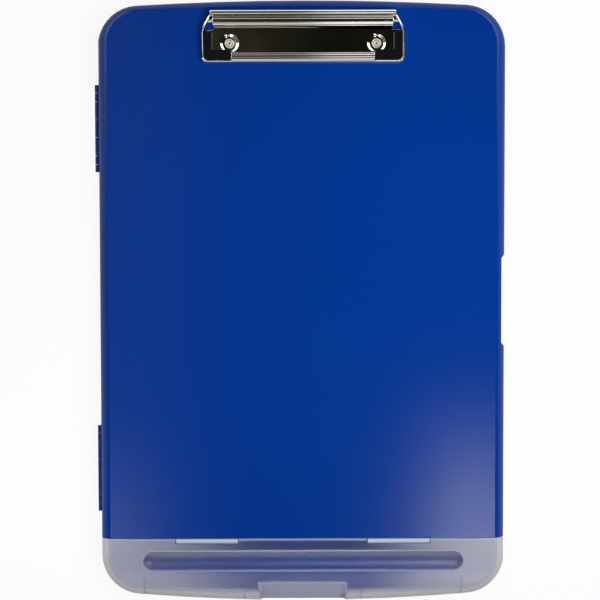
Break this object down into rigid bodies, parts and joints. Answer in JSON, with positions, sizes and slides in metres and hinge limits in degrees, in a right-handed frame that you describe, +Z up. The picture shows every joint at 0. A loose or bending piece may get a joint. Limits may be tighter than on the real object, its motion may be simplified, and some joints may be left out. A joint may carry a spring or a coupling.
{
  "type": "storage clipboard box",
  "caption": "Flat storage clipboard: shallow paper tray under a hinged writing lid with a sprung metal clip, and a pen bay under a milky hinged cover.",
  "frame": {"origin": "centre of the tray's underside, which the box rests on", "axes": "+Z up out of the lid, +Y along the box towards the clip, hinges of the lid at -X"},
  "size_m": [0.238, 0.3497, 0.0366],
  "materials": {
    "tray_plastic": "moulded, fine grain",
    "lid_plastic": "moulded, fine satin grain",
    "milky_plastic": "translucent, satin",
    "hinge_plastic": "milky, satin",
    "lever_chrome": "bright plated",
    "clip_chrome": "bright plated",
    "rivet_steel": "plated",
    "steel": "drawn",
    "spring_steel": "drawn wire",
    "cap_rubber": "satin black"
  },
  "bodies": {
    "tray": {"tray_shell": "tray_plastic", "hinge_pin_upper": "steel", "hinge_pin_lower": "steel", "pen_hinge_block_left": "hinge_plastic", "pen_hinge_block_right": "hinge_plastic", "pen_hinge_pin_left": "steel", "pen_hinge_pin_right": "steel"},
    "lid": {"lid_shell": "lid_plastic", "clip_base_plate": "clip_chrome", "clip_pivot_rod": "steel", "clip_spring_left": "spring_steel", "clip_spring_right": "spring_steel", "rivet_left": "rivet_steel", "rivet_right": "rivet_steel", "rivet_washer_left": "steel", "rivet_washer_right": "steel"},
    "clip_lever": {"clip_lever": "lever_chrome", "corner_cap_left": "cap_rubber", "corner_cap_right": "cap_rubber"},
    "pen_lid": {"pen_lid": "milky_plastic"}
  },
  "joints": [
    {"name": "lid_hinge", "type": "hinge", "parent": "tray", "child": "lid", "pos_m": [-0.11845, 0, 0.01415], "axis": [0, -1, 0], "range_deg": [0, 165]},
    {"name": "pen_lid_hinge", "type": "hinge", "parent": "tray", "child": "pen_lid", "pos_m": [0, -0.13815, 0.0236], "axis": [-1, 0, 0], "range_deg": [0, 95]},
    {"name": "clip_pivot", "type": "hinge", "parent": "lid", "child": "clip_lever", "pos_m": [0.0009, 0.1614, 0.0298], "axis": [-1, 0, 0], "range_deg": [0, 35], "stiffness_Nm_per_rad": 0.4, "springref_deg": -28.65, "deforming": ["clip_spring_left", "clip_spring_right"]}
  ]
}
